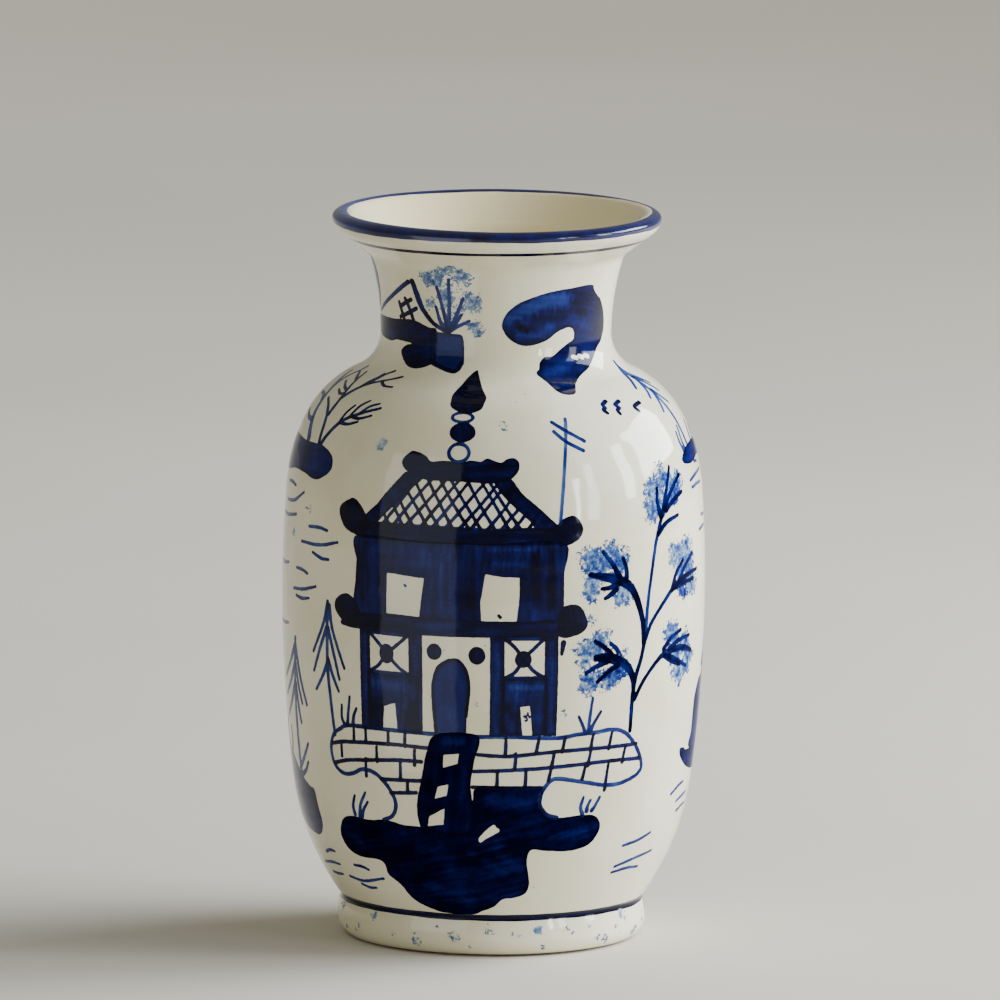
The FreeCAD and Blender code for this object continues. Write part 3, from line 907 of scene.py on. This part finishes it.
def lower_storey(motif):
    """Four posts, two barred windows over dark panels, and an arched door."""
    for left, right in ((-38.7, -35.3), (-23.4, -19.4), (-0.8, 3.1), (14, 17.8)):
        motif.fill([(left, 137.4), (left + 0.1, 115), (left, 95.6), (right, 95.6), (right + 0.1, 118),
            (right, 137.4)], load=0.86, sharp=True, streak=0.11)
        middle = (left + right) / 2
        motif.tone([(middle, 134), (middle + 0.3, 98)], 1.5, -0.10)
    for left, right, top in ((-36.2, -20.5, 119.8), (2.6, 15.0, 120.1)):
        motif.fill([(left, top), ((left + right) / 2, top - 0.6), (right, top), (right, 95.8),
            (left, 95.8)], load=0.83, sharp=True, grain=2, streak=0.13)
    for corners, dot, half in (((-35.6, -23.4), (-30, 128), (2.2, 4.1)),
            ((3.2, 14.2), (8.2, 127.8), (2.3, 3.5))):
        left, right = corners
        motif.strokes(1.0, [(left, 136.4), (left + 2.8, 132.6), dot],
            [dot, (right - 3, 122.8), (right, 119.9)], [(right, 136.4), (right - 3, 132.4), dot],
            [dot, (left + 3, 122.9), (left, 119.9)], load=0.78)
        motif.stroke([(left, 136.4), (right, 136.2)], 1.0, load=0.8)
        motif.stroke([(left, 120), (right, 120)], 1.1, load=0.74)
        motif.fill(ring_route(dot, half)[:-1], load=0.88)
    motif.tone([-34,115, -24,115], 3.0, -0.12)
    motif.tone([-27,104, -22,112], 3.0, -0.10)
    motif.tone([5,116.5, 13,116], 2.2, -0.18)
    motif.tone([4,104, 5,98], 2.0, -0.10)
    motif.spare([-31,106, -27.5,107.8, -27,96.5, -27.5,93, -31.5,93, -31.5,96.5], sharp=True)
    motif.spare([7.5,108, 10.2,108.5, 11,96, 8.3,95.5], sharp=True)
    motif.sponge((9, 104), 3.4, load=0.5, density=0.1, size=0.9)
    motif.fill(ring_route((-16, 130.3), (2.1, 3.4))[:-1])
    motif.fill(ring_route((-4.3, 129.3), (2.3, 3.7))[:-1], load=0.92)
    motif.fill([-15.5,94.5, -16.2,110, -16.3,118, -15,124, -12.5,126.5, -10,127.5, -8,125, -6.5,120,
        -6.3,115, -7,105, -8,94.5], load=0.74, streak=0.05)
    motif.stroke([-15.6,97, -16.3,110, -16.2,118, -14.8,124, -12,127], 0.9, 0.9)
    motif.stroke([-12,127, -9.4,127, -7.2,122.5, -6.5,115, -7.2,104], 0.9, 0.9)
    motif.stroke([19.2,134.2, 18.8,129.6], [1.9, 0.9], 0.9)


def terrace(motif):
    """A brick terrace outlined with one long wandering line."""
    motif.stroke([-33,58, -30,60, -28.6,64, -29,68, -31,72.5, -34,76.5, -37,78.2, -40,78, -43,76,
        -46.5,75.2, -49.5,77, -51.3,81, -51.5,86, -50,91, -47,94, -43,96, -30,96.3, -16,96], 1.25,
        load=0.66)
    motif.stroke([-5,95.5, 5,95.6, 18,94.6, 24,95.6, 30,96, 35,96.5, 39,95, 42,91.5, 45,86, 46.8,80, 46,77,
        43,74.8, 38,73.2, 33,73.5, 28,75, 23,76.5, 19,77.5, 17,77, 15,74, 13.8,70, 14,66, 16,62.5, 19,61],
        1.25, load=0.66)
    motif.strokes(1.15, [-51.2,87, -45,88.8, -30,90.3, -18,90], [-50.5,79, -44,81.3, -28,83.8, -20,84],
        [-33,75.2, -20,76], [-30,69.8, -22,70.8], [-4,88, 5,87.5, 20,89, 44,89.2],
        [-5,81, 12,82, 32,83.3, 45.6,83], [-5.5,74.3, 14,74], load=0.84)
    for top, bottom, joints in ((95.8, 90, (-41.8, -37.5, -30, -24.8)), (88.6, 82.4, (-47, -34, -22)),
            (83.0, 75.6, (-38, -26.5)), (75.4, 70.4, (-24.5,)), (95.2, 88.6, (3.8, 13, 20.5, 29, 35)),
            (88.6, 82.2, (6.5, 17.5, 28.5, 40)), (81.6, 74.6, (1.5, 9.5)), (82.6, 76.8, (16.8, 27)),
            (83.0, 71.2, (34.5,))):
        for joint in joints:
            lean = 0.8 if joint > 10 else 0.1
            motif.stroke([(joint, top), (joint - lean, bottom)], [0.8, 1.1], load=0.84)


def steps(motif):
    """The steps from the door down to the rock."""
    motif.fill([-15.5,96, -18.5,88, -20,78, -21.8,66, -21.2,57, -19,55, -6,55, -5.4,66, -6,75, -5,85,
        -4,96], load=0.93, grain=8, streak=0.06)
    motif.spare([-13.6,87.5, -9.2,88.2, -9.6,84, -13.8,82], sharp=True)
    motif.spare([-15.4,74, -12.3,75.2, -12.8,70.4, -16.4,68.8], sharp=True)
    motif.spare([-18.2,61.2, -13.5,65, -14,58, -18.8,57], sharp=True)
    motif.tone([-13,93, -8.5,93.4], 2.4, -0.16)
    motif.tone([-8,82, -8.5,70], 1.6, -0.06)


def island(motif):
    """The rock that the steps come down to, brushed on thick."""
    motif.fill([-30,57.5, -33,58, -39,57, -45,57.5, -49.5,55.5, -52,49, -51,44, -48,41, -44,40, -38,40,
        -35.8,38.5, -35.3,34, -33,31.5, -31,29, -29,25, -26,22, -22,20, -18,18.6, -12,18.2, -6,18.4, -3,20,
        1,22, 4,25.5, 8,26.2, 11.5,28, 12.5,32, 11.8,37, 11,42, 11.8,47.3, 16,47, 22,46.3, 27,46.8, 31,49,
        33.3,54, 33,58, 31,60.8, 27,61.5, 18,61, 15,64, 14,67, 14,74, 5,74.6, -4,74.6, -5.5,68, -7,60,
        -14,57, -25,56.5], load=0.95, grain=75)
    motif.spare([0.5,58.5, -2,55.5, -3.7,52.5, -3.3,50.8, -1.5,52.5, 2.3,55.8, 1.3,57.5])
    motif.tone([0,69, 9,66], 4.5, -0.12)
    motif.tone([2,48, 8,40], 4.0, -0.10)
    motif.tone([-48,49, -44,47], 2.5, -0.10)
    motif.tone([18,53, 28,54], 3.0, -0.10)
    motif.tone([-22,32, -8,26], 4.0, -0.08)
    motif.tone([-6,46, 4,38], 3.0, -0.07)


def reeds(motif):
    """Tufts at both ends of the terrace and on the island."""
    motif.strokes([1.3, 0.7], [-45.4,96.5, -46.2,99, -46,104], [-44,96, -43.6,101, -42.8,108],
        [-42,96.5, -41.6,100, -40.5,103.5], [26.3,96, 25.6,99, 24.3,103], [27.3,96, 27.6,102, 28.3,110.5],
        [28,97, 29,100, 31,104.5], [-43.8,58.5, -44.2,62, -43.2,66.5], [-42,57.5, -41.2,63, -39,68.5],
        [-41,58, -40.2,61, -38.4,64.5], [27,61.5, 26.3,65, 27,69], [28.3,63, 28.5,65, 29.3,67.5],
        [30,63, 31,65, 32.3,68.5], load=0.66)


def firs(motif):
    """Two thin firs, one close to the terrace and one further round."""
    motif.stroke([-51,146, -51.3,120, -50.5,105, -49.5,91], [1.2, 1.5, 1.3, 1.2], 0.6)
    motif.strokes([1.5, 0.9], [-51,145, -53,136, -57.8,124], [-51.5,135, -54.5,126, -57.8,116],
        [-51,122, -53.5,115, -57,108.5], [-50.2,144.5, -49,135, -44.5,119.5],
        [-50.8,135, -48.6,125, -46.5,114.5], [-51,122, -49,115, -47,109.5], load=0.62)
    motif.stroke([-69,127, -70,115, -71,100, -71.5,70], [1.6, 2.0, 1.8, 2.2], 0.5)
    motif.strokes([1.9, 1.2], [-69.5,124, -74,116, -80,109], [-70,116, -75,107, -80,101.5],
        [-70.5,108, -75,99, -80,92.5], [-69,124, -66.5,112, -63,100.5], [-69.5,116, -68,108, -66,100.5],
        [-70,108, -69,100, -67.5,92], load=0.5)
    motif.fill([-88,78, -82,78, -78,76, -72,70, -66,66, -63,65, -62,58, -61.5,52, -63,48, -67,45, -75,46,
        -85,50, -93,55, -94,68], load=0.76, grain=70)
    motif.strokes([1.8, 0.9], [-72,72, -68,77, -64,84], [-70,70, -67.5,72, -65,76],
        [-84,78, -85,84, -83,90], [-80,77, -78,83, -78,88], load=0.55)


def shoulder_twigs(motif):
    """A dark bank high on the left shoulder with bare, blown twigs."""
    motif.fill([-52.8,201, -54,205, -58,207.5, -62,208.3, -72,208, -85,208.5, -98,206, -101,202, -98,197,
        -85,194, -75,196, -67,195.8, -62,194.5, -58,195, -54,198], load=0.77, grain=85)
    motif.strokes([1.8, 0.8], [-63,209, -65,218, -69,222.5, -74,225],
        [-64.8,220, -64.5,226, -66.5,231, -70,235.5], [-64.5,226, -61,230, -56,233, -44,236.5],
        [-61.5,209, -59,214, -55,219, -49,222.5, -41.5,225.5], load=0.76)
    motif.strokes([1.1, 0.6], [-65.5,229, -70,230, -74.5,231.5], [-67.5,232.5, -72,234, -76,235],
        [-65,228, -68,227.5, -72,228.6], [-57,232.6, -55,236, -51,238], [-52,234.3, -48,233, -43.5,233],
        [-60,230.6, -58,234, -56,236.4], [-56.5,217.5, -55.5,222, -53.5,225],
        [-53,220.5, -51,225, -48,227.5], [-49,222.5, -46.5,225.5, -43,227],
        [-52,221, -48,220.8, -43.5,222.5], [-56,218, -52,218, -48,219.5], load=0.74)
    motif.stroke([-71,209, -76,218, -80,228, -86,234], [3.0, 2.6, 2.2, 1.4], 0.5)
    motif.strokes([1.8, 0.9], [-78,223, -82,225, -88,225], [-75,216, -80,216, -86,218],
        [-80,228, -79,233, -76,237], load=0.5)


def water(motif):
    """Loose water strokes on both sides of the pavilion."""
    motif.strokes([0.8, 1.0, 0.7], [-80,190, -76,190.2, -72,189.5], [-80,182, -72,183.5, -65.5,188],
        [-84,176, -77,176.4, -70,178], [-61,175, -56,175.6, -52,175], [-65,168, -55,168.5, -47.5,171],
        [-58.5,164.8, -54,163.2, -51,163.3], [-85,156, -80,156, -75,157], [-68,156.5, -64,156.4, -61,155.5],
        [-70,147.5, -63,148.6, -56.5,151], [-68,145, -64,144.6, -60,145.5], [-85,131, -80,131, -75,132],
        [-66,38, -62,39.6, -59,39.5], [-72,32.5, -65,33.8, -59,34], [-68,29, -64,29, -60,29.5],
        [-50,35.5, -46,35.4, -43.5,34.5], [-55.5,29.5, -48,28.8, -38,31.5],
        [-50,27.2, -46.5,26.2, -43,26.6], [44,46, 50,47.2, 56,49.5], [43,37, 51,39.2, 60,41],
        [42.5,34.5, 49,35.4, 55,35], [64,64, 69,66.6, 73,67.5], [69,60, 74,61.4, 78,62],
        [71,55.5, 76,56.8, 80,57], [71,193, 77,194.6, 84,195.5], [72,190, 77,190.6, 82,190.5],
        [78,199.5, 82,199], [80,177, 83,176.8, 85,176.5], [77,171.5, 81,172, 85,172], load=0.58)


def shoulder_fir(motif):
    """A small bank on the right shoulder with a fir."""
    motif.fill([68,202.5, 71,205, 76,207, 85,207.5, 95,206, 99,203, 95,200, 85,201, 80,200.3, 74,199.5,
        69,200.5], load=0.84, grain=85)
    motif.stroke([73,240, 72.5,232, 74,222, 76,206], [1.4, 2.0, 1.8, 1.6], 0.5)
    motif.strokes([1.8, 1.0], [73,238, 69,234.5, 64,231], [73,234, 70,230, 67,227],
        [73.5,229, 71,225, 69,221.5], [73,238, 76,234, 80,231], [73.5,234, 77,231, 80,228],
        [74,229, 76.5,226, 79,223.5], load=0.5)
    motif.strokes([1.6, 0.8], [71,205, 70,209, 70,213], [72.5,206, 72,210, 72.8,215],
        [82,207, 83,211, 85,215], [86,207, 88,210, 91,212], load=0.5)


def birds(motif):
    """Three far birds."""
    motif.strokes([1.5, 1.3, 1.3], [42.5,228.9, 40.0,227.8, 40.5,226.8, 39.2,226.0, 40.2,224.8],
        [48.4,228.3, 45.5,227.2, 46.6,226.1, 45.0,225.3, 45.3,224.0], [58.1,226.6, 53.8,225.6, 54.8,223.8],
        load=0.86)


def mast(motif):
    """A thin mast with two crossed strokes."""
    motif.stroke([18.3,183, 19.3,195, 21,210, 23.5,224], 0.95, 0.5)
    motif.strokes(1.1, [18.6,223, 22,220, 28,215.3], [18.6,219.5, 22,215.5, 27,211.7], load=0.52)


def tree(motif):
    """The tree right of the pavilion: five branches with brushed leaves over sponged ones."""
    motif.stroke([41.3,95, 41.5,108, 42.3,117, 44,124, 45.3,131], [1.3, 1.7, 1.7, 1.6, 1.5], 0.88)
    motif.stroke([45.3,131, 46.5,148, 48,160, 50,172, 52.5,181], [1.8, 1.4, 1.3, 1.4, 1.6], 0.74)
    motif.stroke([45,131, 44.5,140, 43,147, 41,153, 38,157, 33,159.5, 27,161.5],
        [1.8, 2.2, 2.6, 2.9, 3.6, 3.4, 1.6], 0.91)
    motif.stroke([45.5,132, 48,139, 52,145, 57,151, 62,154, 67,155.6, 73,156.3],
        [1.7, 1.4, 1.4, 1.8, 2.0, 1.5, 1.0], 0.82)
    motif.stroke([41.8,110, 41.5,116, 40,121, 37,124.5, 33,126.5, 29,127], [1.6, 2.2, 2.9, 3.6, 3.8, 2.4],
        0.93)
    motif.stroke([42.2,108, 45,114.5, 49,120.5, 53,124.5, 58,126, 64,125.5, 69,123.4],
        [1.6, 1.4, 1.4, 2.0, 2.4, 2.2, 1.3], 0.86)
    motif.strokes([2.1, 1.1], [38.5,158, 38.6,162, 37.5,167], [36,160, 34,165, 31,170.5],
        [36,157, 33,155.6, 30.5,155.5], [35,154.5, 33,152.4, 31.5,151.3], [35,126, 32,130.5, 28.5,134],
        [37,125.5, 35.6,129.6, 33.5,132.5], [33,125.4, 29,123.4, 26,121], [36,123.4, 32.6,120.6, 29.5,117],
        [57,151, 59,157, 63,162], [60,153, 64,159, 69.5,164], [58,151.5, 64,152.6, 70,153],
        [53.5,127, 57,131, 62,133.3], [56,126.5, 61,129.2, 67.5,130], [54,124, 58,121, 62,119],
        [56,123.5, 61,120.6, 66,117.5], [52.3,182, 51.2,188, 51.5,193.5], [53,182, 55,190, 59,201],
        [54,185, 58,191.5, 63.5,197], [55,184, 59,187.5, 64,190], [51,175, 55,179, 61,181], load=0.84)
    motif.dabs(6.6, [27.5,168, 33,169, 27.5,157, 30,164, 26,129, 27,117, 33,118, 30,133, 50,193, 58,190,
        49,186, 59,165, 67,160, 68,152, 57,133, 65,128, 62,116, 55,197, 62,194, 37,152, 62,158, 65,166,
        60,124, 67,121, 36,166, 54,187], density=0.78, size=0.5)
    motif.dabs(5.0, [35,119, 36.5,122, 62,150.5, 60,190], load=0.44, density=0.9, size=0.45)


def side_hut(motif):
    """A small dark hut on its own bank, between the two pavilions."""
    motif.fill([75.8,81, 75.4,88, 75.2,96, 75.6,102, 77.6,106.8, 80.4,109.6, 84,110.4, 85.4,113.4, 90,114.6,
        100,114.4, 103.4,112, 104,96, 103.6,81], load=0.82, streak=0.14)
    motif.fill([66.6,82.6, 69.4,82.6, 71.4,81.2, 76,81, 86,81.5, 102,82.5, 110,80, 112,76.5, 104,73,
        92,70.6, 84,70.8, 78,72, 72.6,74.4, 68.6,77.8, 66.8,80.4], load=0.84, grain=85)
    motif.spare([88,84, 88,99, 90.5,102, 93,99, 93,84], sharp=True)
    motif.spare([96,93, 96,104, 100.5,104, 100.5,93], sharp=True)
    motif.stroke([83.4,115, 88,121.4, 94.8,129, 101,121.6, 106.6,115], [2.2, 1.8, 2.6, 1.8, 2.2], 0.8)
    motif.stroke([83.2,114.8, 94,115.6, 107,115], 2.2, 0.86)
    for i in range(5):
        foot = 87 + 3.4 * i
        motif.strokes(0.9, [(foot, 116), (foot + 2.2, 121.5 if i < 4 else 118.5)],
            [(foot + 3.0, 116), (foot + 1.2, 120.5)], load=0.66)


def stray_marks(motif):
    """Stray touches of the brush and the sponge."""
    for centre, radius, density, grain in (
            ((-35.5, 212.5), 2.9, 1.0, 0.9), ((-71, 170), 2.4, 0.7, 2.0), ((38, 128), 5.0, -0.1, 0.6),
            ((27, 143), 5.0, -0.1, 0.6), ((20, 104), 5.0, -0.2, 0.6), ((-62, 182), 4.0, -0.2, 0.6),
            ((3, 222), 4.0, -0.25, 1.0), ((18, 11), 2.4, 0.7, 1.6), ((58, 14), 2.6, 0.7, 1.6),
            ((24, 147), 3.4, 0.1, 0.8), ((44, 6), 3.0, 0.1, 0.8), ((-5, 109), 4.0, -0.25, 0.6)):
        motif.sponge(centre, radius, load=0.02, density=density, size=grain)
    motif.stroke([1.5,145.9, 1.9,145.3], 0.8, load=0.9)
    motif.stroke([-24.6,157, -24.3,156.6], 0.5, load=0.2)


def foot_grit(motif):
    """Blue grit all round the foot."""
    for i in range(42):
        place = (-178 + 8.6 * i + 3 * math.sin(7.1 * i), 8.6 + 4.2 * math.sin(4.3 * i))
        motif.sponge(place, 3.0 + 1.6 * math.sin(2.7 * i), load=0.04 + 0.10 * math.sin(5 * i) ** 2,
                     density=-0.05 + 0.25 * math.sin(3.1 * i), size=0.34 + 0.1 * math.sin(1.9 * i))


def painted(works, suffix="", turn=0.0):
    """Paints each work of a scene as a piece of its own, named after the work."""
    for work, how in works:
        motif = Motif(work.__name__ + suffix, turn, **how)
        work(motif)
        motif.finish()


# Small works need a finer map, and some stand higher because they lie over others.
FINE, FINER = {"cell": 0.36}, {"cell": 0.33}
OVER = {"lift": 1.5 * FILM}
PAVILION = [(neck_hut, FINER), (neck_rock, FINE), (finial, FINER), (upper_roof, {}),
            (upper_storey, {}), (lower_eave, OVER), (lower_storey, {}), (terrace, {}),
            (steps, {**OVER, "paint": "soft"}), (island, {"paint": "soft"}), (reeds, FINE),
            (birds, FINER), (mast, FINE), (tree, {**FINE, "paint": "soft"})]
SIDES = [(firs, FINE), (shoulder_twigs, FINE), (water, FINE),
         (shoulder_fir, {**FINE, "paint": "soft"}), (side_hut, {"paint": "soft"}),
         (stray_marks, {"cell": 0.30}), (foot_grit, {"cell": 0.22})]
painted(PAVILION)
painted(PAVILION, "_back", 180.0)
painted(SIDES)


# ---- floor, light and camera --------------------

def floor():
    """A plain pale floor that runs out past every camera."""
    reach = 14.0
    mesh = bpy.data.meshes.new("floor")
    mesh.from_pydata([(-reach, -reach, 0), (reach, -reach, 0), (reach, reach, 0),
                      (-reach, reach, 0)], [], [(0, 1, 2, 3)])
    shader = Shader("pale_floor")
    shader.set(Base_Color=shader.ramp(shader.grain(1.5, 2.0), [(0.4, (0.64, 0.595, 0.515)),
                                                               (0.6, (0.67, 0.625, 0.545))]),
               Roughness=0.9)
    mesh.materials.append(shader.material)
    piece = new_object("floor", mesh)


def aim(thing, place, target):
    """Puts a thing at a place, turned to a target."""
    thing.location = place
    direction = Vector(target) - Vector(place)
    thing.rotation_mode = "QUATERNION"
    thing.rotation_quaternion = direction.to_track_quat("-Z", "Y")


def shone_from(azimuth, elevation, distance):
    """A place azimuth degrees right of the front and elevation above level, from the pot."""
    a, e = math.radians(azimuth), math.radians(elevation)
    return Vector((distance * math.sin(a) * math.cos(e), -distance * math.cos(a) * math.cos(e),
                   LIT_HEIGHT + distance * math.sin(e)))


def lamp(name, kind, place, power, colour):
    """A light that points at the pot."""
    light = bpy.data.lights.new(name, kind)
    light.energy = power
    light.color = colour
    piece = new_object(name, light)
    aim(piece, place, (0, 0, LIT_HEIGHT))
    piece.visible_camera = False
    return piece


def panel(name, place, width, height, power, colour):
    """A glowing rectangle that faces the pot."""
    piece = lamp(name, "AREA", place, power, colour)
    piece.data.shape = "RECTANGLE"
    piece.data.size, piece.data.size_y = width, height
    return piece


def lights():
    """Soft daylight from the right, panes that show on the glaze, and a faint room."""
    day = (0.84, 0.92, 1.0)
    sun, wall = 4.0, 1.9    # metres from the pot
    for name, azimuth, elevation, spread, power, colour in (
            ("key", 92, 33, 50, 2.6, (0.96, 0.98, 1.0)), ("fill", -75, 12, 60, 0.24, (0.95, 1.0, 0.90))):
        light = lamp(name, "SUN", shone_from(azimuth, elevation, sun), power, colour)
        light.data.angle = math.radians(spread)
        light.visible_glossy = False
    for name, azimuth, elevation, width, height, power in (
            ("window_back", 111, 23, 1.2, 0.8, 62), ("pane_near", 46.5, 9, 0.10, 0.62, 4.2),
            ("pane_middle", 55, 13, 0.18, 0.90, 5.5), ("pane_far", 81, 16, 0.28, 0.92, 15.0)):
        panel(name, shone_from(azimuth, elevation, wall), width, height, power, day)
    mirrored = panel("window_left", shone_from(-37, 3, 0.30), 0.21, 0.34, 0.42, (0.80, 0.86, 1.0))
    mirrored.visible_diffuse = False
    world = bpy.data.worlds.new("room")
    world.use_nodes = True
    background = world.node_tree.nodes["Background"]
    background.inputs["Color"].default_value = (0.655, 0.65, 0.57, 1)
    background.inputs["Strength"].default_value = 0.44
    bpy.context.scene.world = world


def camera():
    """A long lens 8 m off, 9 degrees above level, as the reference view has."""
    distance = 8.0
    elevation = math.radians(8.93)
    target = Vector((2.34 * MM, 0, 179.9 * MM))
    roll = math.radians(0.48)
    data = bpy.data.cameras.new("camera")
    data.lens = 700.9
    data.sensor_width = 36
    data.clip_start, data.clip_end = 0.1, 60
    piece = new_object("camera", data)
    back = Vector((0, -math.cos(elevation), math.sin(elevation)))
    piece.location = target + back * distance
    piece.rotation_mode = "QUATERNION"
    piece.rotation_quaternion = ((-back).to_track_quat("-Z", "Y")
                                 @ Matrix.Rotation(roll, 3, "Z").to_quaternion())
    bpy.context.scene.camera = piece


floor()
lights()
camera()
